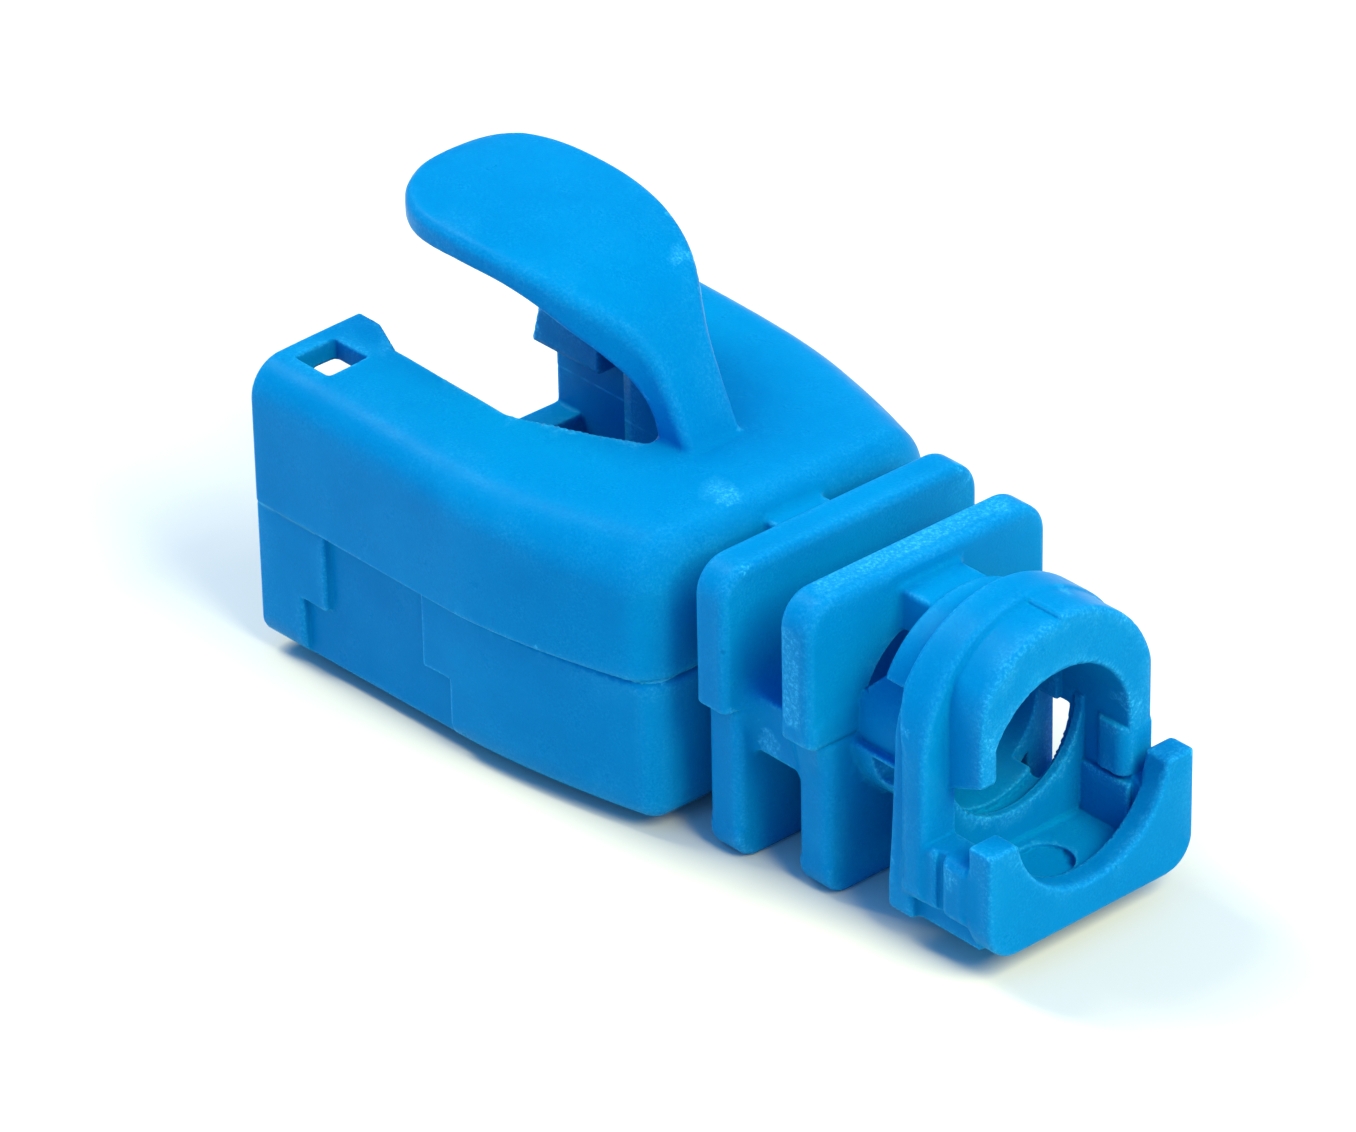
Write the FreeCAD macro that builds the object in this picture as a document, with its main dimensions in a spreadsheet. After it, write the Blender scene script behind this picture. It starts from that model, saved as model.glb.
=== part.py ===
import FreeCAD, Part
import os
import math
import Sketcher

# Strain relief boot for a modular plug, one moulding in soft plastic.
# It is drawn with X from the plug mouth (X = 0) to the cable end (+X), Y
# across the width and symmetric about Y = 0, and Z up with the ribs' lower
# ends on Z = 0. The finished solid is then moved back along X by half its
# length, so the origin lies under the middle of the part.

doc = FreeCAD.newDocument("boot")

# ------------------------------------------------------------------ sheet
sheet = doc.addObject("Spreadsheet::Sheet", "dims")
DIMS = [
    # sleeve that grips the plug
    ("body_len", 18.95), ("body_half", 8.06), ("body_rear_half", 6.42),
    ("body_straight", 10.3), ("body_top", 11.45), ("body_bottom", 0.52),
    ("part_line", 5.96), ("low_front_half", 8.03), ("low_half", 7.72),
    ("low_rear_half", 6.3), ("low_straight", 9.9),
    ("top_round", 1.5), ("corner_round", 1.05), ("low_round", 0.7),
    # recessed flank panel on the lower half
    ("panel_start", 2.35), ("panel_mid", 3.6), ("panel_end", 9.95),
    ("panel_late", 8.6), ("panel_step", 2.92), ("panel_depth", 0.3),
    # plug cavity
    ("cav_half", 5.9), ("cav_rear_half", 5.0),
    ("cav_step", 4.65), ("cav_end", 16.7),
    ("cav_floor", 1.75), ("cav_roof", 10.1), ("lip_top", 4.5),
    ("lip_len", 1.35), ("ear_roof", 10.7),
    # slot in the roof for the plug's latch
    ("slot_half", 3.9), ("slot_straight", 8.8), ("slot_end", 13.55),
    ("slot_end_half", 1.65), ("ear_len", 1.3), ("ear_half", 2.98),
    ("ear_root", 3.05), ("hole_x", 0.87), ("hole_y", 4.85),
    ("hole_len", 1.81), ("hole_wid", 1.75),
    ("hook_x", 0.1), ("hook_len", 3.55), ("hook_y", 4.75),
    ("hook_low", 7.46), ("hook_high", 9.1),
    # latch guard
    ("stalk_front", 13.55), ("stalk_back", 15.2), ("stalk_half", 1.26),
    ("guard_half", 3.74), ("guard_tip", 1.08), ("guard_top", 17.48),
    ("guard_low", 16.1),
    # ribs
    ("rib_a_x", 20.4), ("rib_a_len", 1.5), ("rib_a_half", 5.8),
    ("rib_a_low_half", 5.3), ("rib_a_top", 11.35), ("rib_a_split", 5.97),
    ("rib_b_x", 24.1), ("rib_b_len", 1.5), ("rib_b_half", 5.4),
    ("rib_b_low_half", 4.65), ("rib_b_top", 11.5), ("rib_b_split", 6.12),
    ("rib_base", 0.0), ("rib_round", 1.2), ("rib_low_round", 0.9),
    # webs that join sleeve, ribs and ring
    ("web_half", 1.28), ("web_top", 10.5), ("web_low", 0.6),
    ("web_thick", 2.2), ("side_web_low", 4.25), ("side_web_high", 6.5),
    ("side_web_out", 4.52), ("tail_web_top", 10.75), ("tail_web_half", 1.35),
    # half tube under the cable
    ("tube_rad", 3.62), ("tube_top", 5.8), ("tube_x", 21.3),
    ("shell_rad", 3.27), ("shell_z", 5.62), ("shell_front", 7.5),
    ("window_x", 26.62), ("window_len", 1.85), ("window_low", 4.6), ("window_top", 5.62),
    ("far_window_x", 27.75), ("far_window_len", 1.25),
    ("far_window_low", 2.6), ("window_high", 5.95),
    # cable bore and tail ring
    ("bore_rad", 2.65), ("rib_bore_rad", 2.95), ("bore_z", 6.3), ("neck_rad", 3.9),
    ("neck_x", 27.1), ("neck_cut", 8.85),
    ("layer_x", 28.45), ("layer_len", 1.0), ("layer_rad", 4.45),
    ("ring_x", 29.12), ("ring_len", 1.13), ("ring_rad", 4.7),
    ("ring_z", 7.15), ("ring_foot", 2.0), ("open_rad", 3.2),
    ("open_z", 6.55), ("open_x", 28.6), ("crown_rad", 4.25),
    ("crown_z", 7.48), ("crown_near", 3.58), ("crown_far", 4.22),
    ("crown_len", 1.6), ("crown_end", 6.35), ("crown_far_end", 4.3),
    ("rim_x", 29.3), ("rim_len", 0.45), ("rim_rad", 3.08), ("rim_z", 6.5),
    ("pad_in", 2.92), ("pad_high", 6.2), ("panel_in", 2.98),
    ("panel_high", 4.12),
    ("base_z", 1.06), ("base_top", 2.2), ("base_half", 4.22),
    ("wall_top", 4.3), ("wall_out", 4.6), ("lug_x", 31.12),
    ("lug_out", 4.74), ("plate_x", 32.3), ("plate_len", 1.1),
    ("plate_half", 4.66), ("plate_top", 5.4), ("plate_round", 1.2),
    ("notch_rad", 3.42), ("notch_z", 5.85), ("pit_rad", 0.98),
    ("pit_x", 31.16), ("pit_deep", 0.2),
]
V = {}
for i, (name, value) in enumerate(DIMS):
    cell = "B%d" % (i + 1)
    sheet.set("A%d" % (i + 1), name)
    sheet.set(cell, str(value))
    sheet.setAlias(cell, name)
    V[name] = value
doc.recompute()


def num(expr):
    """value of a sheet expression written with bare cell names"""
    return float(value_of(expr))


def value_of(expr):
    holder = doc.getObject("probe") or doc.addObject("App::FeaturePython", "probe")
    if not hasattr(holder, "val"):
        holder.addProperty("App::PropertyFloat", "val")
    holder.setExpression("val", bind(expr))
    holder.recompute()
    return holder.val


def bind(expr):
    out, word = "", ""
    for ch in expr + " ":
        if ch.isalnum() or ch == "_":
            word += ch
        else:
            if word in V:
                out += "dims." + word
            else:
                out += word
            word = ""
            out += ch
    return out.strip()


def box(name, x, y, z, lx, ly, lz):
    o = doc.addObject("Part::Box", name)
    for prop, e in (("Placement.Base.x", x), ("Placement.Base.y", y),
                    ("Placement.Base.z", z), ("Length", lx), ("Width", ly),
                    ("Height", lz)):
        o.setExpression(prop, bind(e))
    return o


def cyl_x(name, x, z, r, length, y="0"):
    """cylinder along +X"""
    o = doc.addObject("Part::Cylinder", name)
    o.Placement = FreeCAD.Placement(
        FreeCAD.Vector(0, 0, 0), FreeCAD.Rotation(FreeCAD.Vector(0, 1, 0), 90))
    for prop, e in (("Placement.Base.x", x), ("Placement.Base.y", y),
                    ("Placement.Base.z", z), ("Radius", r),
                    ("Height", length)):
        o.setExpression(prop, bind(e))
    return o


def cyl_z(name, x, y, z, r, height):
    o = doc.addObject("Part::Cylinder", name)
    for prop, e in (("Placement.Base.x", x), ("Placement.Base.y", y),
                    ("Placement.Base.z", z), ("Radius", r),
                    ("Height", height)):
        o.setExpression(prop, bind(e))
    return o


ROT = {"XY": FreeCAD.Rotation(),
       "XZ": FreeCAD.Rotation(FreeCAD.Vector(1, 0, 0), 90),
       "YZ": FreeCAD.Rotation(FreeCAD.Vector(1, 1, 1), 120)}


def outline(name, plane, pts, arcs=()):
    """closed sketch through pts (pairs of sheet expressions); arcs holds
    {segment index: midpoint pair} for segments that are arcs"""
    sk = doc.addObject("Sketcher::SketchObject", name)
    sk.Placement = FreeCAD.Placement(FreeCAD.Vector(0, 0, 0), ROT[plane])
    arcs = dict(arcs)
    P = [FreeCAD.Vector(num(a), num(b), 0) for a, b in pts]
    n = len(P)
    ends = []
    for i in range(n):
        a, b = P[i], P[(i + 1) % n]
        if i in arcs:
            m = FreeCAD.Vector(num(arcs[i][0]), num(arcs[i][1]), 0)
            arc = Part.Arc(a, m, b).toShape().Curve
            c = arc.Center
            a0 = math.atan2(a.y - c.y, a.x - c.x)
            a1 = math.atan2(b.y - c.y, b.x - c.x)
            am = math.atan2(m.y - c.y, m.x - c.x)
            ccw = ((am - a0) % (2 * math.pi)) < ((a1 - a0) % (2 * math.pi))
            circle = Part.Circle(c, FreeCAD.Vector(0, 0, 1), arc.Radius)
            if ccw:
                g = sk.addGeometry(Part.ArcOfCircle(circle, a0, a0 + ((a1 - a0) % (2 * math.pi))), False)
                ends.append((g, 1, 2))
            else:
                g = sk.addGeometry(Part.ArcOfCircle(circle, a1, a1 + ((a0 - a1) % (2 * math.pi))), False)
                ends.append((g, 2, 1))
        else:
            g = sk.addGeometry(Part.LineSegment(a, b), False)
            ends.append((g, 1, 2))
    for i in range(n):
        g, s, e = ends[i]
        h, s2, _ = ends[(i + 1) % n]
        sk.addConstraint(Sketcher.Constraint("Coincident", g, e, h, s2))
    for i in range(n):
        g, s, e = ends[i]
        for kind, expr, val in (("DistanceX", pts[i][0], P[i].x),
                                ("DistanceY", pts[i][1], P[i].y)):
            if abs(val) < 1e-9:
                # on the axis
                sk.addConstraint(Sketcher.Constraint(
                    "PointOnObject", g, s, -2 if kind == "DistanceX" else -1))
                continue
            c = sk.addConstraint(Sketcher.Constraint(kind, -1, 1, g, s, val))
            sk.setExpression("Constraints[%d]" % c, bind(expr))
        if i in arcs:
            m = FreeCAD.Vector(num(arcs[i][0]), num(arcs[i][1]), 0)
            a, b = P[i], P[(i + 1) % n]
            r = Part.Arc(a, m, b).toShape().Curve.Radius
            sk.addConstraint(Sketcher.Constraint("Radius", g, r))
    return sk


def prism(name, sk, length, lift="0", axis="z"):
    """solid made by pushing a sketch along its own normal"""
    sk.setExpression("Placement.Base.%s" % axis, bind(lift))
    o = doc.addObject("Part::Extrusion", name)
    o.Base = sk
    o.DirMode = "Normal"
    o.setExpression("LengthFwd", bind(length))
    o.Solid = True
    return o


def fuse(name, *parts):
    o = doc.addObject("Part::MultiFuse", name)
    o.Shapes = list(parts)
    return o


def cut(name, a, b):
    o = doc.addObject("Part::Cut", name)
    o.Base, o.Tool = a, b
    return o


def common(name, a, b):
    o = doc.addObject("Part::Common", name)
    o.Base, o.Tool = a, b
    return o


def rounded(name, base, picks):
    """fillet: picks is a list of (test(edge), radius expression)"""
    doc.recompute()
    o = doc.addObject("Part::Fillet", name)
    o.Base = base
    edges = []
    for k, e in enumerate(base.Shape.Edges):
        for test, r in picks:
            if test(e):
                rr = num(r)
                edges.append((k + 1, rr, rr))
                break
    assert edges, name
    o.Edges = edges
    doc.recompute()
    return o


def bbx(e):
    b = e.BoundBox
    return b


# ----------------------------------------------------------------- sleeve
def plan(name, length, front, half, rear, straight):
    # nearly straight flanks that curve in towards the cable end
    bulge = "(%s - (%s - %s) * 0.3)" % (half, half, rear)
    mid = "(%s + (%s - %s) * 0.5)" % (straight, length, straight)
    return outline(name, "XY",
                   [("0", "-" + front), (straight, "-" + half),
                    (length, "-" + rear), (length, rear),
                    (straight, half), ("0", front)],
                   {1: (mid, "-" + bulge), 3: (mid, bulge)})


upper_raw = prism("upper_raw", plan("upper_plan", "body_len", "body_half", "body_half", "body_rear_half", "body_straight"),
                  "body_top - part_line", "part_line")
lower_raw = prism("lower_raw", plan("lower_plan", "body_len", "low_front_half", "low_half", "low_rear_half", "low_straight"),
                  "part_line - body_bottom", "body_bottom")
Lb = V["body_len"]
top, bot = V["body_top"], V["body_bottom"]


def vertical(e):
    b = e.BoundBox
    return b.ZLength > 1 and b.XLength < 1e-3 and b.YLength < 1e-3


upper_c = rounded("upper_corners", upper_raw,
                  [(lambda e: vertical(e) and abs(e.BoundBox.XMin - Lb) < 1e-3, "corner_round")])
upper = rounded("upper_half", upper_c,
                [(lambda e: e.BoundBox.ZLength < 1e-3 and abs(e.BoundBox.ZMin - top) < 1e-3
                  and e.BoundBox.XMax > 0.01, "top_round")])
lower_c = rounded("lower_corners", lower_raw,
                  [(lambda e: vertical(e) and abs(e.BoundBox.XMin - Lb) < 1e-3, "corner_round")])
lower = rounded("lower_half", lower_c,
                [(lambda e: e.BoundBox.ZLength < 1e-3 and abs(e.BoundBox.ZMin - bot) < 1e-3
                  and e.BoundBox.XMax > 0.01, "low_round")])

# shallow panel let into both flanks of the lower half, with a jog at each end
panel_pts = [("panel_start", "body_bottom - 0.5"), ("panel_end", "body_bottom - 0.5"),
             ("panel_end", "panel_step"), ("panel_late", "panel_step"),
             ("panel_late", "part_line"), ("panel_mid", "part_line"),
             ("panel_mid", "panel_step"), ("panel_start", "panel_step")]
panel = prism("panel_all", outline("panel_shape", "XZ", panel_pts), "2 * body_half + 2", "body_half + 1", "y")
panel_keep = prism("panel_core", outline("panel_core_plan", "XY", [
    ("0.5", "-(low_front_half - panel_depth)"), ("low_straight", "-(low_half - panel_depth)"),
    ("low_straight + 1", "-(low_half - panel_depth)"), ("low_straight + 1", "low_half - panel_depth"),
    ("low_straight", "low_half - panel_depth"), ("0.5", "low_front_half - panel_depth")]),
    "part_line - body_bottom + 2", "body_bottom - 1")
panel_cut = cut("panel_tool", panel, panel_keep)
lower_p = cut("lower_panelled", lower, panel_cut)

# ------------------------------------------------------------ latch guard
# side profile of the guard: up from the roof behind the slot, then forward
side = outline("guard_side", "XZ", [
    ("stalk_front", "body_top - 0.8"), ("stalk_back", "body_top - 0.8"),
    ("stalk_back - 0.15", "body_top + 0.05"), ("stalk_back - 0.9", "guard_top - 4.4"),
    ("stalk_back - 3.1", "guard_top - 1.75"), ("stalk_back - 5.0", "guard_top - 0.7"),
    ("stalk_back - 8.6", "guard_top"), ("guard_tip + 0.5", "guard_top - 0.3"),
    ("guard_tip", "guard_low + 0.55"), ("guard_tip + 0.6", "guard_low + 0.05"),
    ("stalk_front - 8.6", "guard_low"), ("stalk_front - 5.0", "guard_low - 0.2"),
    ("stalk_front - 2.45", "guard_low - 1.4"), ("stalk_front - 0.85", "guard_low - 2.8")],
    {2: ("stalk_back - 0.4", "guard_top - 5.4"), 3: ("stalk_back - 1.75", "guard_top - 3.0"),
     12: ("stalk_front - 1.5", "guard_low - 2.15"), 13: ("stalk_front - 0.15", "guard_low - 4.2")})
guard_side = prism("guard_sheet", side, "2 * guard_half", "guard_half", "y")
top_pts = [("stalk_back + 0.4", "-stalk_half"), ("stalk_back + 0.4", "stalk_half"),
           ("stalk_front - 0.2", "stalk_half + 0.08"), ("stalk_front - 1.5", "stalk_half + 0.94"),
           ("stalk_front - 3.2", "stalk_half + 1.74"), ("stalk_front - 6.2", "guard_half - 0.06"),
           ("stalk_front - 9.6", "guard_half - 0.14"), ("guard_tip + 0.95", "guard_half - 0.89"),
           ("guard_tip + 1.5", "-(guard_half - 0.89)"), ("stalk_front - 9.6", "-(guard_half - 0.14)"),
           ("stalk_front - 6.2", "-(guard_half - 0.06)"), ("stalk_front - 3.2", "-(stalk_half + 1.74)"),
           ("stalk_front - 1.5", "-(stalk_half + 0.94)"), ("stalk_front - 0.2", "-(stalk_half + 0.08)")]
top_sk = outline("guard_plan", "XY", top_pts,
                 {5: ("stalk_front - 7.9", "guard_half"), 6: ("guard_tip + 1.6", "guard_half - 0.44"),
                  7: ("guard_tip", "0.5"),
                  8: ("guard_tip + 2.1", "-(guard_half - 0.44)"), 9: ("stalk_front - 7.9", "-guard_half")})
guard_top = prism("guard_block", top_sk, "guard_top + 2 - body_top", "body_top - 1")
guard_raw = common("guard_raw", guard_side, guard_top)

# ------------------------------------------------------------------ ribs
def rib(tag, x, length, half, low, tall, split):
    up = box("rib_%s_up" % tag, x, "-" + half, split, length, "2 * " + half, tall + " - " + split)
    dn = box("rib_%s_dn" % tag, x, "-" + low, "rib_base", length, "2 * " + low, split + " - rib_base")
    upr = rounded("rib_%s_up_r" % tag, up, [
        (lambda e: e.BoundBox.XLength > 0.5 and e.BoundBox.ZMin > 9, "rib_round")])
    dnr = rounded("rib_%s_dn_r" % tag, dn, [
        (lambda e: e.BoundBox.XLength > 0.5 and e.BoundBox.ZMax < 1, "rib_low_round")])
    return fuse("rib_%s" % tag, upr, dnr)


rib_a = rib("a", "rib_a_x", "rib_a_len", "rib_a_half", "rib_a_low_half", "rib_a_top", "rib_a_split")
rib_b = rib("b", "rib_b_x", "rib_b_len", "rib_b_half", "rib_b_low_half", "rib_b_top", "rib_b_split")

# webs: top and bottom, then both sides, then top and bottom again
web_top_a = box("web_top_a", "body_len - 1", "-web_half", "web_top - web_thick",
                "rib_a_x - body_len + 1.5", "2 * web_half", "web_thick")
web_low_a = box("web_low_a", "body_len - 1.2", "-web_half", "web_low",
                "rib_a_x - body_len + 1.7", "2 * web_half", "web_thick")
web_side_r = box("web_side_r", "rib_a_x + 0.5", "-side_web_out", "side_web_low",
                 "rib_b_x - rib_a_x", "side_web_out - 2.2", "side_web_high - side_web_low")
web_side_l = box("web_side_l", "rib_a_x + 0.5", "2.2", "side_web_low",
                 "rib_b_x - rib_a_x", "side_web_out - 2.2", "side_web_high - side_web_low")
web_top_b = box("web_top_b", "rib_b_x + 0.5", "-tail_web_half", "tail_web_top - 1.6",
                "layer_x - rib_b_x", "2 * tail_web_half", "1.6")
web_low_b = box("web_low_b", "rib_b_x + 0.5", "-tail_web_half", "base_z",
                "layer_x - rib_b_x", "2 * tail_web_half", "2.4")

# ---------------------------------------------------------------- tail
# open half tube that carries the cable from the first rib to the ring
tube_full = cyl_x("tube_full", "tube_x", "bore_z", "tube_rad", "layer_x - tube_x + 0.3")
tube_lid = box("tube_lid", "tube_x - 1", "-6", "tube_top", "layer_x - tube_x + 3", "12", "8")
tube = cut("half_tube", tube_full, tube_lid)
flank = box("tube_flank", "rib_b_x + rib_b_len - 0.3", "2.5", "1.9", "far_window_x - rib_b_x - rib_b_len + 0.3",
            "1.2", "window_high - 1.9")
tab = box("flank_tab", "window_x", "2.9", "window_high", "ring_x - window_x", "1.05", "1.05")
# thin arch over the cable from the second rib to the ring, cut on a slant
shell_full = cyl_x("shell_full", "rib_b_x + rib_b_len - 0.3", "bore_z", "shell_rad", "layer_x - rib_b_x - rib_b_len + 0.5")
shell_drop = box("shell_drop", "rib_b_x", "-5", "-1", "8", "10", "shell_z + 1")
shell_half = cut("shell_half", shell_full, shell_drop)
shell_slant = prism("shell_slant", outline("shell_slant_line", "XZ", [
    ("rib_b_x + rib_b_len - 0.5", "shell_front - 0.5"), ("rib_b_x + rib_b_len + 3.0", "shell_front + 3.15"),
    ("rib_b_x + rib_b_len - 0.5", "shell_front + 3.15")]), "12", "6", "y")
shell = cut("arch_shell", shell_half, shell_slant)
# neck: arch over the cable in front of the ring
neck_full = cyl_x("neck_full", "neck_x", "ring_z", "neck_rad", "ring_x - neck_x + 0.1")
neck_drop = box("neck_drop", "neck_x - 1", "-6", "-1", "ring_x - neck_x + 2", "12", "neck_cut + 1")
neck = cut("neck", neck_full, neck_drop)
# front layer, then the main hoop standing a little prouder
layer_arch = cyl_x("layer_arch", "layer_x", "ring_z", "layer_rad", "layer_len")
layer_legs = box("layer_legs", "layer_x", "-layer_rad", "base_z", "layer_len", "2 * layer_rad", "ring_z - base_z")
hoop_arch = cyl_x("hoop_arch", "ring_x", "ring_z", "ring_rad", "ring_len")
hoop_legs = box("hoop_legs", "ring_x", "-ring_rad", "ring_foot", "ring_len", "2 * ring_rad", "ring_z - ring_foot")
# crown behind the hoop: its near leg stops short, its far leg runs down
crown_full = cyl_x("crown_full", "ring_x + ring_len - 0.1", "crown_z", "crown_rad", "crown_len + 0.1")
crown_leg = box("crown_legs", "ring_x + ring_len - 0.1", "-crown_near", "crown_far_end", "crown_len + 0.1",
                "crown_near + crown_far", "crown_z - crown_far_end")
crown_sum = fuse("crown_sum", crown_full, crown_leg)
crown_box = box("crown_box", "ring_x + ring_len - 0.2", "-crown_near", "crown_far_end", "crown_len + 1",
                "crown_near + crown_far", "10")
crown_trim = common("crown_trim", crown_sum, crown_box)
crown_drop = box("crown_drop", "ring_x + ring_len - 0.3", "-7", "0", "crown_len + 2", "7", "crown_end")
crown_arch = cut("crown_arch", crown_trim, crown_drop)
# tail tray: floor, low side walls with lugs, notched end plate
tail_floor = box("tail_floor", "layer_x + 0.15", "-base_half", "base_z", "plate_x - layer_x",
                 "2 * base_half", "base_top - base_z")
wall_r = box("wall_r", "ring_x + 0.4", "-wall_out", "ring_foot", "plate_x - ring_x", "wall_out - open_rad", "wall_top - ring_foot")
wall_l = box("wall_l", "ring_x + 0.4", "open_rad", "ring_foot", "plate_x - ring_x", "wall_out - open_rad", "wall_top - ring_foot")
lug_r = box("lug_r", "lug_x", "-lug_out", "ring_foot + 0.08", "plate_x - lug_x + 0.1", "lug_out - open_rad - 0.2", "wall_top - ring_foot - 0.1")
lug_l = box("lug_l", "lug_x", "open_rad + 0.2", "ring_foot + 0.08", "plate_x - lug_x + 0.1", "lug_out - open_rad - 0.2", "wall_top - ring_foot - 0.1")
plate_raw = box("plate_raw", "plate_x", "-plate_half", "base_z", "plate_len", "2 * plate_half", "plate_top - base_z")
plate = rounded("plate_rounded", plate_raw, [
    (lambda e: e.BoundBox.XLength > 0.5 and e.BoundBox.ZMax < 2, "plate_round")])
notch_c = cyl_x("notch_c", "plate_x - 0.5", "notch_z", "notch_rad", "plate_len + 1")
notch_b = box("notch_b", "plate_x - 0.5", "-notch_rad", "notch_z", "plate_len + 1", "2 * notch_rad", "3")
notch = fuse("notch", notch_c, notch_b)
plate_cut = cut("end_plate", plate, notch)

# ------------------------------------------------------- cavity and bore
cav_plan = outline("cavity_plan", "XY", [
    ("-1", "-cav_half"), ("cav_step", "-cav_half"), ("cav_step", "-cav_rear_half"),
    ("cav_end", "-cav_rear_half"), ("cav_end", "cav_rear_half"),
    ("cav_step", "cav_rear_half"), ("cav_step", "cav_half"), ("-1", "cav_half")])
cavity_raw = prism("cavity_raw", cav_plan, "cav_roof - cav_floor", "cav_floor")
lip = box("lip", "-2", "-8", "cav_floor - 1", "lip_len + 2", "16", "lip_top - cav_floor + 1")
cavity = cut("cavity", cavity_raw, lip)
ear_room = box("ear_room", "-1", "-cav_half", "cav_roof - 1", "slot_straight + 1", "2 * cav_half", "ear_roof - cav_roof + 1")
slot_plan = outline("slot_plan", "XY", [
    ("-1", "-ear_half"), ("ear_len", "-ear_half"), ("ear_root", "-slot_half"),
    ("slot_straight", "-slot_half"), ("slot_end", "-slot_end_half"), ("slot_end", "slot_end_half"),
    ("slot_straight", "slot_half"), ("ear_root", "slot_half"), ("ear_len", "ear_half"),
    ("-1", "ear_half")])
slot = prism("slot", slot_plan, "body_top - cav_roof + 2", "cav_roof - 1")
hole_r = box("hole_r", "hole_x", "-(hole_y + hole_wid)", "cav_roof - 1", "hole_len", "hole_wid", "4")
hole_l = box("hole_l", "hole_x", "hole_y", "cav_roof - 1", "hole_len", "hole_wid", "4")
# gripping bore in the sleeve's rear wall, wider through the ribs
bore = cyl_x("bore", "cav_end - 1", "bore_z", "bore_rad", "body_len - cav_end + 1")
bore_neck = cyl_x("bore_neck", "body_len", "bore_z", "rib_bore_rad", "open_x - body_len")
# wider opening behind the ring, straight sided below its centre
open_a = cyl_x("open_a", "open_x", "open_z", "open_rad", "rim_x - open_x")
open_b = cyl_x("open_b", "rim_x", "open_z", "open_rad", "plate_x - rim_x")
open_c = box("open_c", "rim_x", "-open_rad", "base_top", "plate_x - rim_x", "2 * open_rad", "open_z - base_top")
# low rim left standing at the ring's front
rim_block = box("rim_block", "rim_x", "-6", "0", "rim_len", "12", "open_z")
rim_hole = cyl_x("rim_hole", "rim_x - 1", "rim_z", "rim_rad", "rim_len + 2")
rim = cut("rim", rim_block, rim_hole)
open_bc = fuse("open_bc", open_b, open_c)
opening = cut("opening", open_bc, rim)
window_r = box("window_r", "window_x", "-5.2", "window_low", "window_len", "3.4", "window_top - window_low")
window_l = box("window_l", "far_window_x", "1.8", "far_window_low", "far_window_len", "3.4", "window_high - far_window_low")
pit = cyl_z("pit", "pit_x", "0", "base_top - pit_deep", "pit_rad", "1")
voids = fuse("voids", cavity, ear_room, slot, hole_r, hole_l, bore, bore_neck, open_a, opening, window_r, window_l, pit)

# snap ledges inside the mouth, one under each square hole
hook_r = box("hook_r", "hook_x", "-(cav_half + 0.4)", "hook_low", "hook_len", "cav_half + 0.4 - hook_y", "hook_high - hook_low")
hook_l = box("hook_l", "hook_x", "hook_y", "hook_low", "hook_len", "cav_half + 0.4 - hook_y", "hook_high - hook_low")
# pad on the far leg and the panel below it
pad = box("pad", "ring_x + ring_len - 0.1", "pad_in", "crown_far_end", "crown_len + 0.1", "crown_far - pad_in", "pad_high - crown_far_end")
leg_panel = box("leg_panel", "rim_x + 0.3", "panel_in", "base_top - 0.3", "plate_x - rim_x - 0.65", "1.0", "panel_high - base_top + 0.3")

solid = fuse("solid", upper, lower_p, rib_a, rib_b, web_top_a, web_low_a, web_side_r, web_side_l,
             web_top_b, web_low_b, tube, shell, flank, tab, neck, layer_arch, layer_legs, hoop_arch, hoop_legs,
             crown_arch, tail_floor, wall_r, wall_l, lug_r, lug_l, plate_cut)
hollow = cut("hollow", solid, voids)
boot = fuse("boot_body", hollow, guard_raw, hook_r, hook_l, pad, leg_panel)
boot.Refine = True
boot.Label = "boot"
# the origin is the middle of the length
boot.setExpression("Placement.Base.x", bind("-(plate_x + plate_len) / 2"))
doc.recompute()
probe = doc.getObject("probe")
if probe:
    doc.removeObject("probe")
doc.recompute()

# ---------------------------------------------------------------- checks
bad = [o.Name for o in doc.Objects if any(k in o.State for k in ("Invalid", "Error"))]
assert not bad, bad
assert hollow.Shape.Volume < solid.Shape.Volume - 100, "the hollow cuts nothing"
shape = boot.Shape
assert not shape.isNull() and shape.isValid() and len(shape.Solids) == 1, (shape.isValid(), len(shape.Solids))
b = shape.BoundBox
print("boot %.2f x %.2f x %.2f mm, z from %.2f, volume %.0f mm3, faces %d" % (
    b.XLength, b.YLength, b.ZLength, b.ZMin, shape.Volume, len(shape.Faces)))
os.makedirs("parts", exist_ok=True)
shape.exportStep("parts/boot.step")
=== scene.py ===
import math

import bpy
import numpy as np
import openvdb as vdb
from mathutils import Matrix, Vector
import numpy as np


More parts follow.
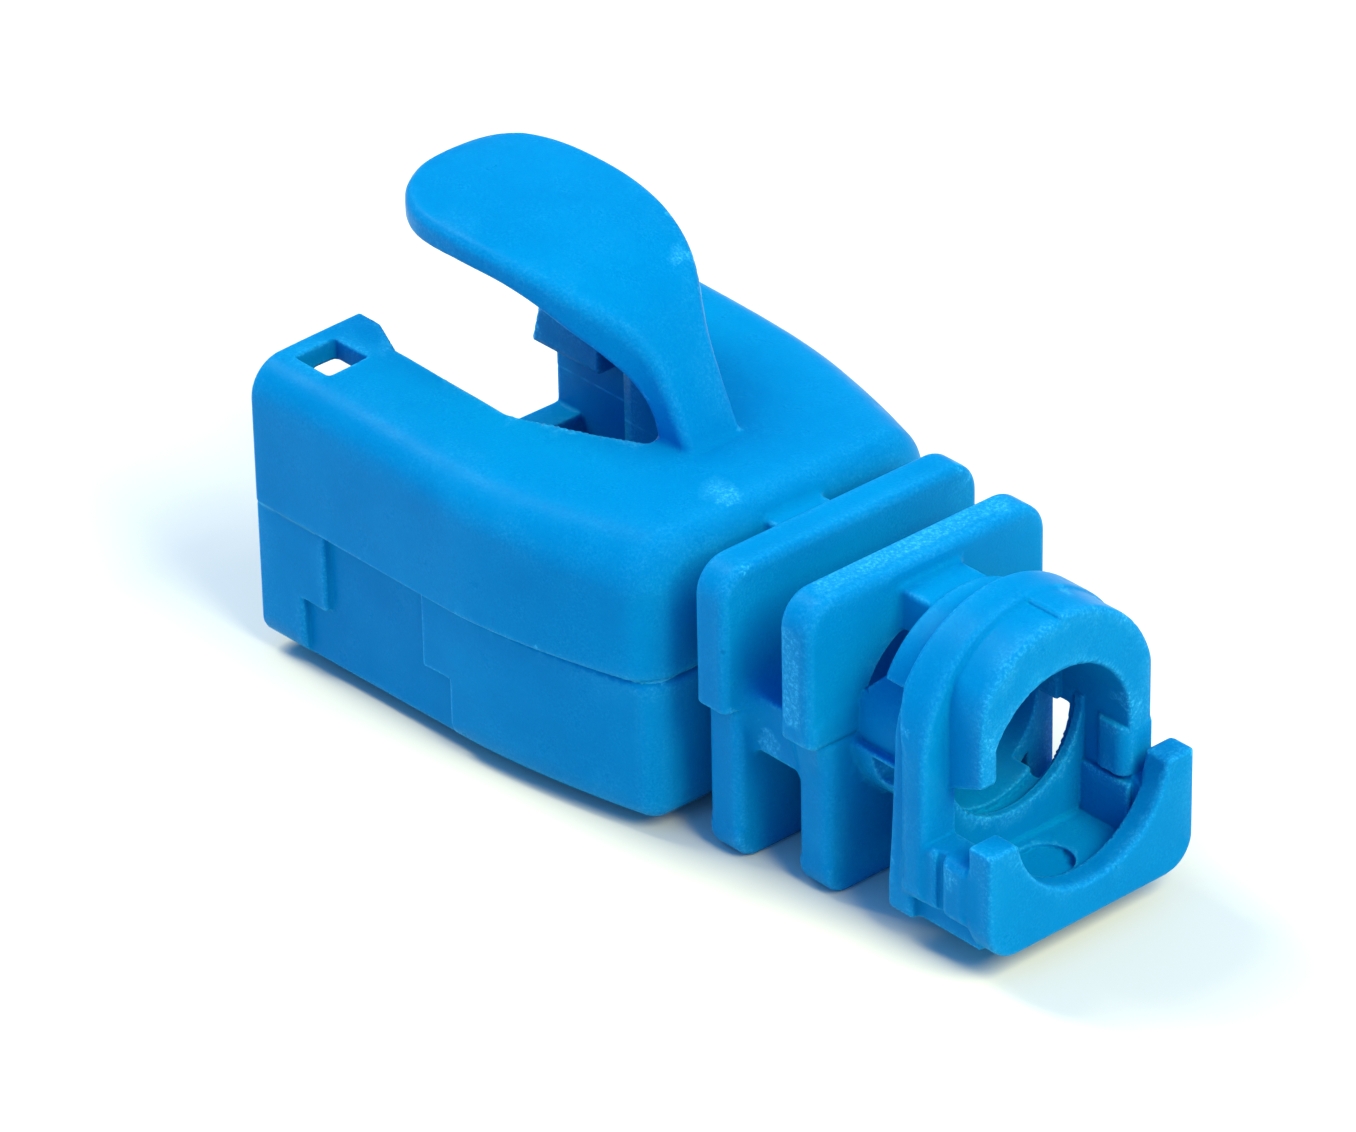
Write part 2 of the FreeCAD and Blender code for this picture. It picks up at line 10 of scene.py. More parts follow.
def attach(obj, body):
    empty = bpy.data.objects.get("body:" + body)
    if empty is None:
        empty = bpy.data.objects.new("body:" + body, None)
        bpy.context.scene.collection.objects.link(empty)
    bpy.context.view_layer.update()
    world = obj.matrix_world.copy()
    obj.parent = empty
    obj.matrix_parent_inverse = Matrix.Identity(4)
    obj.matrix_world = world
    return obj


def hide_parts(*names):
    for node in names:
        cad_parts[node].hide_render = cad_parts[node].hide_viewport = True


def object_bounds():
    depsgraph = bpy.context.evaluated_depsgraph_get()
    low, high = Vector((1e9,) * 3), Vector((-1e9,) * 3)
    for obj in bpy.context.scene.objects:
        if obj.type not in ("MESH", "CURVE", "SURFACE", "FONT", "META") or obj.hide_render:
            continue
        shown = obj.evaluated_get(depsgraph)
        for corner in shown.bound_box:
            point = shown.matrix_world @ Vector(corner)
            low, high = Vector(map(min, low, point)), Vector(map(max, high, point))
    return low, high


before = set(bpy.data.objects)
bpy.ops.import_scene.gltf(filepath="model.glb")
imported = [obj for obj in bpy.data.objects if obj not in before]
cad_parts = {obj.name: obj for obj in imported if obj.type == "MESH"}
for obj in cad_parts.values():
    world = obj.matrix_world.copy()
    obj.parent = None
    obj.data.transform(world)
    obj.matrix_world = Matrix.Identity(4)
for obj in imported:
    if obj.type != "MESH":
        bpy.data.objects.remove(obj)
cad_lo, cad_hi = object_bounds()


# ---- distance helpers: negative inside, millimetres ----
def r_and(a, b, r):
    return np.minimum(-r, np.maximum(a, b)) + np.sqrt(np.maximum(a + r, 0) ** 2 + np.maximum(b + r, 0) ** 2)


def r_or(a, b, r):
    return np.maximum(r, np.minimum(a, b)) - np.sqrt(np.maximum(r - a, 0) ** 2 + np.maximum(r - b, 0) ** 2)


def r_cut(a, b, r):
    return r_and(a, -b, r)


def slab(v, lo, hi):
    return np.abs(v - (lo + hi) / 2) - (hi - lo) / 2


def block(x, y, z, x0, x1, y0, y1, z0, z1, r=0.15):
    return r_and(r_and(slab(x, x0, x1), slab(y, y0, y1), r), slab(z, z0, z1), r)


def smooth_line(pts, n=10):
    """Catmull-Rom samples through pts"""
    p = np.array(pts, float)
    p = np.vstack([2 * p[0] - p[1], p, 2 * p[-1] - p[-2]])
    out = []
    for i in range(1, len(p) - 2):
        for t in np.linspace(0, 1, n, endpoint=False):
            a, b, c, d = p[i - 1], p[i], p[i + 1], p[i + 2]
            out.append(0.5 * ((2 * b) + (c - a) * t + (2 * a - 5 * b + 4 * c - d) * t * t
                              + (3 * b - a - 3 * c + d) * t ** 3))
    out.append(p[-2])
    return np.array(out)


def poly(u, v, pts):
    """signed distance to a closed polygon, for flat arrays"""
    u = np.asarray(u, np.float32)
    v = np.asarray(v, np.float32)
    shape = np.broadcast(u, v).shape
    u, v = np.broadcast_to(u, shape).ravel(), np.broadcast_to(v, shape).ravel()
    d = np.full(u.size, 1e9, np.float32)
    inside = np.zeros(u.size, bool)
    n = len(pts)
    for i in range(n):
        ax, ay = pts[i]
        bx, by = pts[(i + 1) % n]
        ex, ey = bx - ax, by - ay
        wx, wy = u - ax, v - ay
        t = np.clip((wx * ex + wy * ey) / max(ex * ex + ey * ey, 1e-12), 0, 1)
        d = np.minimum(d, (wx - ex * t) ** 2 + (wy - ey * t) ** 2)
        if ay != by:
            hit = ((v >= ay) != (v >= by)) & (u < ax + (v - ay) * ex / (by - ay))
            inside ^= hit
    d = np.sqrt(d)
    return np.where(inside, -d, d).reshape(shape)


# ---- sleeve ----
LEN_UP, LEN_LOW = 18.95, 18.95
PART_Z = 5.96


def half_up(x):
    t = np.maximum(x - 10.3, 0)
    return 8.05 - 0.0415 * t ** 1.7


def half_low(x):
    t = np.maximum(x - 9.9, 0)
    return 8.03 - 0.031 * np.clip(x, 0, 10) - 0.0352 * t ** 1.68


def steep(f, x):
    e = 0.01
    return 1 / np.sqrt(1 + ((f(x + e) - f(x - e)) / (2 * e)) ** 2)


def roof(x, ay):
    edge = np.interp(x, [-2, 0, 3.7, 7.4, 11.0, 13.8, 16.6, 19.5], [11.38, 11.38, 11.38, 11.3, 11.18, 11.12, 11.1, 11.05])
    return edge + 0.22 * (1 - (ay / 8.0) ** 2)


GUARD_UNDER = [(13.6, 10.6), (13.55, 11.3), (13.33, 12.2), (12.85, 13.05), (12.15, 13.85), (11.25, 14.6), (9.8, 15.45),
               (8.4, 15.93), (6.8, 16.1), (5.0, 16.1), (3.2, 16.1), (2.2, 16.17)]
GUARD_TOP = [(2.2, 17.16), (3.4, 17.2), (5.0, 17.2), (6.7, 17.13), (8.4, 16.95), (10.2, 16.56), (11.6, 16.0), (12.85, 15.12),
             (13.75, 14.0), (14.45, 12.75), (14.95, 11.8), (15.2, 11.3), (15.25, 10.6)]
GUARD_PLAN = [(15.6, 1.26), (14.2, 1.26), (13.4, 1.4), (12.7, 1.74), (12.0, 2.2), (11.2, 2.66), (10.4, 3.0), (9.4, 3.3),
              (8.4, 3.52), (7.0, 3.7), (5.6, 3.74), (4.2, 3.66), (3.2, 3.4), (2.35, 2.92), (1.7, 2.2), (1.25, 1.15), (1.14, 0.0)]


def guard_polys():
    side = np.vstack([smooth_line(GUARD_UNDER, 6), smooth_line([(2.2, 16.17), (1.45, 16.32), (1.14, 16.65), (1.42, 17.0), (2.2, 17.16)], 5)[1:-1],
                      smooth_line(GUARD_TOP, 6)])
    half = smooth_line(GUARD_PLAN, 5)
    plan = np.vstack([half, (half * [1, -1])[::-1][1:]])
    return side, plan


SIDE_POLY, PLAN_POLY = guard_polys()


def field(x, y, z):
    """x, y, z flat arrays in the drawing frame"""
    ay = np.abs(y)
    # upper half of the sleeve
    side_u = (ay - half_up(x)) * steep(half_up, x)
    top = z - roof(x, ay)
    up = r_and(side_u, x - LEN_UP, 1.1)
    edge_r = np.interp(x, [0, 9, 13, 16, 19], [1.35, 1.35, 1.55, 1.85, 2.1])
    upt = r_and(r_and(side_u, top, edge_r), x - LEN_UP, 1.0)
    up = np.maximum(up, upt)
    up = r_and(up, -x, 0.25)
    up = r_and(up, PART_Z - z, np.interp(x, [0, 9, 14, 19], [0.08, 0.1, 0.2, 0.3]))
    # lower half
    side_l = (ay - half_low(x)) * steep(half_low, x)
    floor_z = 0.56 - 0.005 * x
    low = r_and(side_l, floor_z - z, 0.75)
    low = r_and(low, x - LEN_LOW, 0.75)
    low = r_and(low, -x, 0.25)
    low = r_and(low, z - PART_Z, np.interp(x, [0, 9, 14, 19], [0.06, 0.1, 0.22, 0.32]))
    core = np.maximum(np.maximum(side_l + 0.4, x - LEN_LOW + 0.45), np.maximum(slab(z, 5.3, 6.7), -x + 0.02))
    low = np.minimum(low, core)
    # flank panel recess on the lower half
    reg = np.minimum(np.maximum(slab(x, 3.6, 8.6), slab(z, 2.0, 5.96)),
                     np.maximum(slab(x, 2.35, 9.95), slab(z, -2.0, 2.92)))
    recess = r_and(reg, -(side_l + 0.3), 0.05)
    low = r_cut(low, recess, 0.07)
    body = r_or(up, low, 0.05)

    # cavity
    cav = np.minimum(r_and(ay - 5.9, slab(x, -3, 4.65), 0.1), r_and(ay - 5.0, slab(x, -3, 16.7), 0.4))
    cav = r_and(cav, slab(z, 1.75, 10.1), 0.2)
    lip = r_and(x - 1.35, z - 4.5, 0.15)
    cav = r_cut(cav, lip, 0.1)
    ear_room = r_and(r_and(slab(x, -3, 8.8), ay - 5.9, 0.3), slab(z, 9.0, 10.7), 0.2)
    void = np.minimum(cav, ear_room)
    # roof slot
    sw = np.interp(x, [-3, 1.25, 3.05, 8.8, 9.6, 10.4, 11.9, 13.6], [2.98, 3.1, 3.9, 3.92, 3.64, 3.2, 2.55, 1.65])
    slot = r_and((ay - sw) * 0.92, slab(x, -3, 13.55), 0.12)
    slot = r_and(slot, slab(z, 9.3, 14), 0.1)
    void = r_or(void, slot, 0.12)
    hole = r_and(slab(x, 0.87, 2.68), slab(ay, 4.85, 6.6), 0.12)
    hole = np.maximum(hole, slab(z, 9.0, 14))
    void = np.minimum(void, hole)
    # ---- ribs ----
    def rib(x0, hu, hl, top_z, split):
        upr = r_and(ay - hu, z - top_z, 1.25)
        upr = r_and(upr, slab(x, x0, x0 + 1.5), 0.32)
        upr = r_and(upr, split - z, 0.1)
        dn = r_and(ay - hl, -z, 0.9)
        dn = r_and(dn, slab(x, x0 + 0.02, x0 + 1.55), np.where(z < 1.2, 0.24, 0.35))
        dn = r_and(dn, z - PART_Z, 0.12)
        return r_or(upr, dn, 0.05)
    rib_a = rib(20.4, 5.8, 5.3, 11.35, 5.97)
    rib_b = rib(24.1, 5.4, 4.65, 11.5, 6.12)
    # webs on the middle line, above and below
    mid = ay - 1.28
    web_t = np.maximum(r_and(mid, slab(z, 8.3, 10.5), 0.15), slab(x, 17.5, 21.4))
    web_b = np.maximum(r_and(mid, slab(z, 0.6, 2.8), 0.15), slab(x, 17.5, 21.4))
    solid = r_or(body, np.minimum(web_t, web_b), 0.22)
    solid = r_or(solid, rib_a, 0.25)
    # side webs between the ribs
    sweb = r_and(slab(ay, 2.0, 4.52), slab(z, 4.25, 6.4), 0.12)
    sweb = np.maximum(sweb, slab(x, 20.9, 25.0))
    sr = np.interp(z, [4.7, 6.1], [0.28, 1.0])
    pair = r_or(rib_b, sweb, sr)
    solid = r_or(solid, pair, sr)
    # ---- tail ----
    # lower half tube
    tr = np.sqrt(y ** 2 + (z - 6.3) ** 2)
    tube = r_and(tr - 3.62, z - 5.8, 0.12)
    tube = np.maximum(tube, slab(x, 21.3, 29.0))
    solid = r_or(solid, tube, 0.15)
    # thin arch over the cable from the second rib to the ring, cut away on a
    # slant in front
    arch_s = r_and(np.abs(tr - 3.08) - 0.19, 5.62 - z, 0.03)
    arch_s = r_and(arch_s, (z - 7.5 - 1.05 * (x - 25.6)) * 0.69, 0.05)
    arch_s = np.maximum(arch_s, slab(x, 25.3, 29.2))
    solid = np.minimum(solid, arch_s)
    # far flank of the tube, closed in front of its window
    flank = np.minimum(block(x, y, z, 25.0, 27.78, 2.5, 3.7, 1.9, 5.95, 0.04), block(x, y, z, 26.6, 29.3, 2.9, 3.95, 5.95, 7.0, 0.04))
    solid = np.minimum(solid, flank)
    # ring body: front layer, hoop, crown
    rr = np.sqrt(y ** 2 + (z - 7.15) ** 2)
    arch = np.where(z > 7.15, rr, ay)
    neck = r_and(rr - 3.9, 8.85 - z, 0.1)
    neck = r_and(neck, slab(x, 27.1, 29.4), 0.2)
    layer = r_and(arch - np.interp(z, [1.0, 2.2, 3.7, 7.0], [4.62, 4.62, 4.5, 4.33]), 1.06 - z, 0.3)
    layer = r_and(layer, slab(x, 28.45, 29.6), 0.18)
    bulge = np.interp(z, [1.9, 2.4, 9.0, 11.0], [0.0, 1.0, 1.0, 0.0])
    hoop_x0 = 29.12 - 0.55 * np.clip((z - 7.5) / 2.0, 0, 1)
    hoop = r_and(arch - 4.7, 2.0 - z, 0.35)
    hoop = r_and(hoop, np.maximum(hoop_x0 - x, x - 30.25), 0.26)
    crr = np.sqrt(y ** 2 + (z - 7.48) ** 2)
    crown = np.where(z > 7.48, crr - np.where(y < 0, 4.2, 4.34), ay - 4.3)
    crown = r_and(crown, -3.58 - y, 0.4)
    crown = r_and(crown, y - 4.22, 0.12)
    crown = r_and(crown, slab(x, 29.5, 31.85), 0.2)
    leg_end = np.where(y < 0, 6.35 + 0.4 * (x - 31.0), 4.3)
    crown = r_and(crown, leg_end - z, 0.15)
    tail = r_or(hoop, layer, 0.08)
    tail = r_or(tail, neck, 0.12)
    tail = r_or(tail, crown, 0.1)
    tweb = np.maximum(r_and(ay - 1.35, slab(z, 9.2, 10.75), 0.15), slab(x, 25.0, 29.0))
    bweb = np.maximum(r_and(ay - 1.35, slab(z, 1.06, 3.45), 0.15), slab(x, 25.0, 29.0))
    solid = r_or(solid, tweb, 0.25)
    solid = r_or(solid, bweb, 0.2)
    # base tray and end plate
    floor = r_and(slab(x, 28.6, 32.45), ay - 4.22, 0.1)
    floor = r_and(floor, slab(z, 1.06, 2.2), 0.12)
    wall = r_and(slab(ay, 3.2, 4.6), slab(z, 2.0, 4.3), 0.2)
    wall = r_and(wall, slab(x, 29.5, 32.6), 0.1)
    wall = r_cut(wall, r_and(slab(x, 30.75, 31.12), 4.42 - ay, 0.1), 0.08)
    lug = block(x, ay, z, 31.12, 32.3, 3.4, 4.74, 2.08, 4.28, 0.28)
    plate = r_and(slab(ay, -10, 4.66), 1.04 - z, 1.25)
    plate = r_and(plate, slab(x, 32.3, 33.4), 0.18)
    plate = r_and(plate, z - np.where(y < 0, 5.25, 5.52), 0.1)
    notch = np.where(z < 5.85, np.sqrt(y ** 2 + (z - 5.85) ** 2), ay) - 3.42
    plate = r_cut(plate, notch, 0.15)
    tail = r_or(tail, r_or(floor, wall, 0.15), 0.1)
    tail = r_or(tail, lug, 0.1)
    tail = r_or(tail, plate, 0.15)
    solid = r_or(solid, tail, 0.12)
    # bore through the ribs, the ring and the crown
    br = np.where(z > 6.35, np.sqrt(y ** 2 + (z - 6.35) ** 2) - 2.95, np.sqrt(y ** 2 + (z - 6.2) ** 2) - 2.95)
    br = np.where((z > 6.2) & (z <= 6.35), ay - 2.95, br)
    bore = np.maximum(br + 0.3 * np.clip((19.25 - x) / 0.3, 0, 1), slab(x, 15.5, 28.7))
    rim_r = np.sqrt(y ** 2 + (z - 6.5) ** 2) - 3.08
    hi_r = np.sqrt(y ** 2 + (z - 6.55) ** 2) - 3.2
    ring_hole = np.where(z > 6.5, hi_r, rim_r)
    ring_hole = np.maximum(ring_hole, slab(x, 29.2, 29.75))
    wide = np.where(z > 6.55, hi_r, np.sqrt(y ** 2 + (z - 6.2) ** 2) - 3.15)
    ring_hole = np.minimum(ring_hole, np.maximum(wide, slab(x, 28.6, 29.3)))
    open_r = np.where(z > 6.55, hi_r, ay - 3.2)
    open_r = np.where(y < 0, np.maximum(open_r, -2.88 - y + 0.0 * x), open_r)
    open_r = np.where((y < 0) & (z < 6.3), ay - 3.2, open_r)
    open_r = np.maximum(open_r, 2.2 - z)
    open_b = np.maximum(open_r, slab(x, 29.7, 32.4))
    bore = np.minimum(np.minimum(bore, ring_hole), open_b)
    solid = r_cut(solid, bore, 0.1)
    # far leg's pad and the panel under it
    pad = r_and(r_and(slab(x, 30.3, 31.85), slab(y, 2.92, 5.4), 0.5), slab(z, 4.3, 6.2), 0.06)
    pad = np.maximum(pad, y - 4.2)
    panel = block(x, y, z, 29.62, 31.95, 2.98, 4.0, 1.9, 4.12, 0.05)
    solid = np.minimum(solid, np.minimum(pad, panel))
    # side windows of the half tube
    win_n = np.maximum(slab(z, 4.6, 5.62), slab(x, 26.62, 28.47))
    win_f = np.maximum(slab(z, 2.6, 5.95), slab(x, 27.72, 29.0))
    win = np.maximum(np.where(y < 0, win_n, win_f), np.maximum(1.8 - ay, ay - 5.2))
    solid = r_cut(solid, win, 0.05)
    disc = np.sqrt((x - 31.16) ** 2 + y ** 2) - 0.98
    disc = np.maximum(disc, 2.0 - z)
    solid = r_cut(solid, np.maximum(disc, z - 2.6), 0.06)
    solid = r_cut(solid, void, 0.07)
    # latch guard
    guard = block(x, y, z, 0.8, 15.7, -3.9, 3.9, 10.9, 17.6, 0)
    near = guard < 0.6
    gx, gy, gz = x[near], y[near], z[near]
    lift = 0.28 * (1 - np.minimum(np.abs(gy) / 3.6, 1) ** 2) * np.clip((13.0 - gx) / 4, 0, 1)
    g_side = poly(gx, gz - lift * np.clip((gz - 16.2) / 0.6, 0, 1), SIDE_POLY)
    guard = np.maximum(guard, 0.5)
    skew = 0.13 * gy * np.clip((5.0 - gx) / 3.0, 0, 1)
    guard[near] = r_and(g_side, poly(gx + skew, gy, PLAN_POLY), 0.36)
    solid = r_or(solid, guard, 0.18)
    # snap hooks
    hook = r_and(slab(x, 0.03 + np.clip(z - 7.46, 0, 2) * 0.27, 3.65), slab(ay, 4.75, 6.4), 0.05)
    hook = r_and(hook, slab(z, 7.46, 9.1), 0.05)
    solid = np.minimum(solid, hook)
    return solid
SHIFT = -16.7


def sample(h, lo=(-0.6, -8.7, -0.6), hi=(34.0, 8.7, 18.0)):
    n = [int(math.ceil((b - a) / h)) + 1 for a, b in zip(lo, hi)]
    xs = lo[0] + h * np.arange(n[0])
    ys = lo[1] + h * np.arange(n[1])
    zs = lo[2] + h * np.arange(n[2])
    out = np.empty(n, np.float32)
    yy, zz = np.meshgrid(ys, zs, indexing="ij")
    yy, zz = yy.ravel().astype(np.float32), zz.ravel().astype(np.float32)
    step = 12
    for i in range(0, n[0], step):
        k = min(step, n[0] - i)
        xx = np.repeat(xs[i:i + k].astype(np.float32), yy.size)
        out[i:i + k] = field(xx, np.tile(yy, k), np.tile(zz, k)).reshape(k, n[1], n[2])
    return out, np.array(lo)


def slope(p, e=0.02):
    g = np.empty_like(p)
    for k in range(3):
        a, b = p.copy(), p.copy()
        a[:, k] += e
        b[:, k] -= e
        g[:, k] = field(*a.T) - field(*b.T)
    return g / (2 * e)


def boot_mesh(h, adapt):
    values, lo = sample(h)
    grid = vdb.FloatGrid(3 * h)
    grid.copyFromArray(np.clip(values, -3 * h, 3 * h))
    grid.transform = vdb.createLinearTransform(voxelSize=h)
    pts, tris, quads = grid.convertToPolygons(isovalue=0.0, adaptivity=adapt)
    p = pts.astype(np.float64) + lo
    # settle the points on the surface itself
    for _ in range(3):
        f = field(*p.T)
        g = slope(p)
        g2 = np.maximum((g ** 2).sum(1), 0.2)
        step = np.clip(f / g2, -0.5 * h, 0.5 * h)
        p -= g * step[:, None]
    return p, tris, quads


# ---- the boot as one moulded piece ----
pts, tris, quads = boot_mesh(0.11, 0.03)
pts[:, 0] += SHIFT
co = (pts / 1000.0)
lo_lim = np.array(cad_lo, float)
hi_lim = np.array(cad_hi, float)
co = np.clip(co, lo_lim, hi_lim)
faces = [tuple(int(i) for i in t) for t in tris] + [tuple(int(i) for i in q) for q in quads]
mesh = bpy.data.meshes.new("moulded_boot")
mesh.from_pydata(co.tolist(), [], faces)
mesh.validate()
mesh.update()
boot = bpy.data.objects.new("moulded_boot", mesh)
bpy.context.scene.collection.objects.link(boot)
mesh.polygons.foreach_set("use_smooth", [True] * len(mesh.polygons))
mesh.update()
# shade with the true surface direction rather than the facets'
here = np.empty(len(mesh.vertices) * 3)
mesh.vertices.foreach_get("co", here)
here = here.reshape(-1, 3) * 1000.0
here[:, 0] -= SHIFT
normals = slope(here, 0.03)
length = np.linalg.norm(normals, axis=1)
own = np.empty(len(mesh.vertices) * 3)
mesh.vertices.foreach_get("normal", own)
own = own.reshape(-1, 3)
weak = length < 0.3
normals = np.where(weak[:, None], own, normals / np.maximum(length, 0.3)[:, None])
mesh.normals_split_custom_set_from_vertices(normals.tolist())
mesh.update()


# ---- material ----
def plastic():
    mat = bpy.data.materials.new("sky_blue_plastic")
    mat.use_nodes = True
    nt = mat.node_tree
    nodes, links = nt.nodes, nt.links
    bsdf = nodes["Principled BSDF"]
    bsdf.inputs["Subsurface Weight"].default_value = 0.25
    bsdf.inputs["Subsurface Radius"].default_value = (0.1, 0.5, 1.0)
    bsdf.inputs["Subsurface Scale"].default_value = 0.0007
    bsdf.inputs["IOR"].default_value = 1.47
    bsdf.inputs["Specular IOR Level"].default_value = 0.03
    bsdf.inputs["Specular Tint"].default_value = (0.12, 0.72, 1.0, 1)
    coord = nodes.new("ShaderNodeTexCoord")

    def noise(scale, detail, rough=0.5):
        n = nodes.new("ShaderNodeTexNoise")
        n.inputs["Scale"].default_value = scale
        n.inputs["Detail"].default_value = detail
        n.inputs["Roughness"].default_value = rough
        links.new(coord.outputs["Object"], n.inputs["Vector"])
        return n

    def ramp(src, stops):
        r = nodes.new("ShaderNodeValToRGB")
        el = r.color_ramp.elements
        el[0].position, el[0].color = stops[0]
        el[1].position, el[1].color = stops[-1]
        for p, c in stops[1:-1]:
            e = el.new(p)
            e.color = c
        links.new(src, r.inputs["Fac"])
        return r

    def mix(kind, fac, a, b):
        m = nodes.new("ShaderNodeMix")
        m.data_type = "RGBA"
        m.blend_type = kind
        links.new(fac, m.inputs["Factor"])
        links.new(a, m.inputs["A"])
        links.new(b, m.inputs["B"])
        return m.outputs["Result"]

    # flow clouds in the pigment
    cloud = noise(240, 5, 0.6)
    base = ramp(cloud.outputs["Fac"], [(0.3, (0.0, 0.186, 0.425, 1)), (0.52, (0.0, 0.206, 0.455, 1)), (0.74, (0.0, 0.228, 0.485, 1))])
    # fine grain of the mould surface
    grain = noise(11000, 2, 0.6)
    dust = ramp(grain.outputs["Fac"], [(0.30, (0.0, 0.165, 0.40, 1)), (0.5, (0.0, 0.208, 0.46, 1)), (0.72, (0.008, 0.265, 0.53, 1))])
    patch = noise(900, 3, 0.6)
    where = ramp(patch.outputs["Fac"], [(0.42, (0.12, 0.12, 0.12, 1)), (0.68, (0.55, 0.55, 0.55, 1))])
    tone = mix("MIX", where.outputs["Color"], base.outputs["Color"], dust.outputs["Color"])
    # lighter outer edges: a painted edge highlight broken up as scuff speckle, and a few dark specks
    geo = nodes.new("ShaderNodeNewGeometry")
    # painted highlight: convex edges get pale colour in place of glints, speckled like scuffs
    edge = ramp(geo.outputs["Pointiness"], [(0.506, (0, 0, 0, 1)), (0.57, (1, 1, 1, 1))])
    speck = noise(9000, 3, 0.7)
    scuff_and_glint = ramp(speck.outputs["Fac"], [(0.42, (0.14, 0.14, 0.14, 1)), (0.54, (0.4, 0.4, 0.4, 1)), (0.64, (0.95, 0.95, 0.95, 1))])
    glint_and_scuff_mask = nodes.new("ShaderNodeMath")
    glint_and_scuff_mask.operation = "MULTIPLY"
    links.new(edge.outputs["Color"], glint_and_scuff_mask.inputs[0])
    links.new(scuff_and_glint.outputs["Color"], glint_and_scuff_mask.inputs[1])
    pale_glint_and_scuff = ramp(cloud.outputs["Fac"], [(0.3, (0.02, 0.37, 0.64, 1)), (0.7, (0.05, 0.44, 0.72, 1))])
    tone = mix("MIX", glint_and_scuff_mask.outputs["Value"], tone, pale_glint_and_scuff.outputs["Color"])
    place = nodes.new("ShaderNodeSeparateXYZ")
    links.new(coord.outputs["Object"], place.inputs["Vector"])

    def math(op, a, b=None):
        m = nodes.new("ShaderNodeMath")
        m.operation = op
        for k, v in enumerate((a, b)):
            if v is None:
                continue
            if isinstance(v, (int, float)):
                m.inputs[k].default_value = v
            else:
                links.new(v, m.inputs[k])
        return m.outputs["Value"]

    # painted highlight: a pale line along the parting line of the sleeve, broken up by noise
    seam = math("ABSOLUTE", math("SUBTRACT", place.outputs["Z"], 0.00597))
    seam = math("LESS_THAN", seam, 0.000045)
    front = math("LESS_THAN", place.outputs["X"], 0.0024)
    parting_line_glint_noise = ramp(noise(1500, 2, 0.5).outputs["Fac"], [(0.35, (0.1, 0.1, 0.1, 1)), (0.6, (0.65, 0.65, 0.65, 1))])
    seam = math("MULTIPLY", math("MULTIPLY", seam, front), parting_line_glint_noise.outputs["Color"])
    tone = mix("MIX", seam, tone, pale_glint_and_scuff.outputs["Color"])
    cells = nodes.new("ShaderNodeTexVoronoi")
    cells.inputs["Scale"].default_value = 210
    links.new(coord.outputs["Object"], cells.inputs["Vector"])
    dots = ramp(cells.outputs["Distance"], [(0.018, (1, 1, 1, 1)), (0.034, (0, 0, 0, 1))])
    keep = ramp(cells.outputs["Color"], [(0.60, (0, 0, 0, 1)), (0.64, (0.75, 0.75, 0.75, 1))])
    spot = nodes.new("ShaderNodeMath")
    spot.operation = "MULTIPLY"
    links.new(dots.outputs["Color"], spot.inputs[0])
    links.new(keep.outputs["Color"], spot.inputs[1])
    dark = ramp(cloud.outputs["Fac"], [(0.3, (0.0, 0.07, 0.19, 1)), (0.7, (0.0, 0.09, 0.24, 1))])
    tone = mix("MIX", spot.outputs["Value"], tone, dark.outputs["Color"])
    links.new(tone, bsdf.inputs["Base Color"])

    rough = nodes.new("ShaderNodeMapRange")
    rough.inputs["From Min"].default_value = 0.35
    rough.inputs["From Max"].default_value = 0.68
    rough.inputs["To Min"].default_value = 0.40
    rough.inputs["To Max"].default_value = 0.27
    links.new(patch.outputs["Fac"], rough.inputs["Value"])
    links.new(rough.outputs["Result"], bsdf.inputs["Roughness"])

    b1 = nodes.new("ShaderNodeBump")
    b1.inputs["Strength"].default_value = 0.5
    b1.inputs["Distance"].default_value = 0.000016
    links.new(grain.outputs["Fac"], b1.inputs["Height"])
    wave = noise(520, 3, 0.5)
    b2 = nodes.new("ShaderNodeBump")
    b2.inputs["Strength"].default_value = 0.5
    b2.inputs["Distance"].default_value = 0.00006
    links.new(wave.outputs["Fac"], b2.inputs["Height"])
    links.new(b1.outputs["Normal"], b2.inputs["Normal"])
    links.new(b2.outputs["Normal"], bsdf.inputs["Normal"])
    return mat


blue = plastic()
mesh.materials.append(blue)
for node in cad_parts.values():
    node.data.materials.clear()
    node.data.materials.append(blue)
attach(boot, "root")
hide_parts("boot")

# ---- camera ----
right = Vector((0.66678821, 0.74504777, -0.01724269))
up = Vector((-0.37043263, 0.35142128, 0.85981553))
back = Vector((0.64666309, -0.5669276, 0.51031357))
cam_data = bpy.data.cameras.new("camera")
cam_data.sensor_width = 36
cam_data.sensor_fit = "HORIZONTAL"
cam_data.lens = 205.4485
cam_data.clip_start = 0.01
cam_data.clip_end = 10
cam = bpy.data.objects.new("camera", cam_data)
bpy.context.scene.collection.objects.link(cam)
rot = Matrix((right, up, back)).transposed().to_4x4()
cam.matrix_world = Matrix.Translation(Vector((0.16774617, -0.15022883, 0.14086476))) @ rot
bpy.context.scene.camera = cam

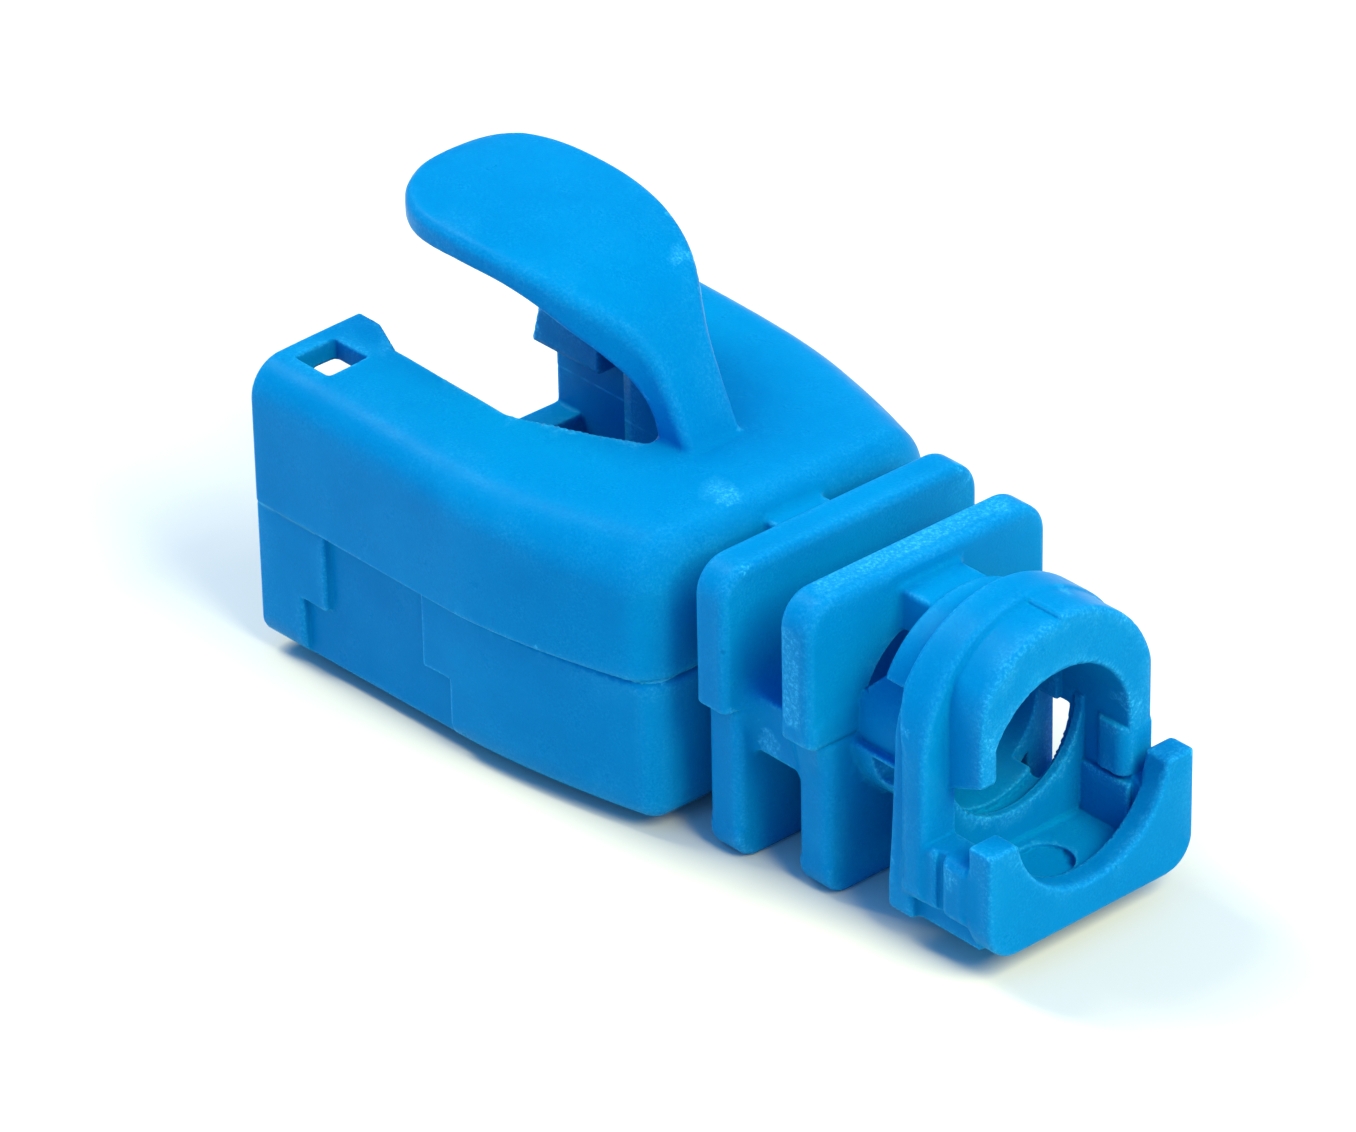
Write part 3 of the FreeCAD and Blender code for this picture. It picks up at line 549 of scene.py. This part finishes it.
# ---- floor and light ----
floor_mesh = bpy.data.meshes.new("floor")
S = 0.24
floor_mesh.from_pydata([(-S, -S, 0), (S, -S, 0), (S, S, 0), (-S, S, 0)], [], [(0, 1, 2, 3)])
floor = bpy.data.objects.new("floor", floor_mesh)
bpy.context.scene.collection.objects.link(floor)
fm = bpy.data.materials.new("pale_floor")
fm.use_nodes = True
fm.node_tree.nodes["Principled BSDF"].inputs["Base Color"].default_value = (0.86, 0.78, 0.64, 1)
fm.node_tree.nodes["Principled BSDF"].inputs["Roughness"].default_value = 0.9
floor_mesh.materials.append(fm)

world = bpy.data.worlds.new("world")
bpy.context.scene.world = world
world.use_nodes = True
sky = world.node_tree.nodes["Background"]
sky.inputs["Color"].default_value = (0.12, 0.385, 1.0, 1)
sky.inputs["Strength"].default_value = 1.06
# plain white behind the floor, blue fill light from all round
plain = world.node_tree.nodes.new("ShaderNodeBackground")
plain.inputs["Color"].default_value = (1, 1, 1, 1)
plain.inputs["Strength"].default_value = 1.0
path = world.node_tree.nodes.new("ShaderNodeLightPath")
pick = world.node_tree.nodes.new("ShaderNodeMixShader")
world.node_tree.links.new(path.outputs["Is Camera Ray"], pick.inputs["Fac"])
world.node_tree.links.new(sky.outputs["Background"], pick.inputs[1])
world.node_tree.links.new(plain.outputs["Background"], pick.inputs[2])
world.node_tree.links.new(pick.outputs["Shader"], world.node_tree.nodes["World Output"].inputs["Surface"])


def soft_light(name, direction, dist, size, power, color=(1, 1, 1)):
    data = bpy.data.lights.new(name, "AREA")
    data.shape = "RECTANGLE"
    data.size, data.size_y = size
    data.energy = power
    data.color = color
    ob = bpy.data.objects.new(name, data)
    bpy.context.scene.collection.objects.link(ob)
    ob.location = Vector(direction).normalized() * dist
    ob.rotation_euler = (Vector((0, 0, 0.008)) - ob.location).to_track_quat("-Z", "Y").to_euler()
    return ob


soft_light("key", (0.69, 0.04, 0.72), 0.5, (0.26, 0.26), 2.85, (1.0, 1.0, 0.66))
soft_light("back", (-0.62, -0.12, 0.77), 0.5, (0.16, 0.26), 2.0, (1.0, 1.0, 0.72))
bpy.context.scene.view_settings.view_transform = "Standard"
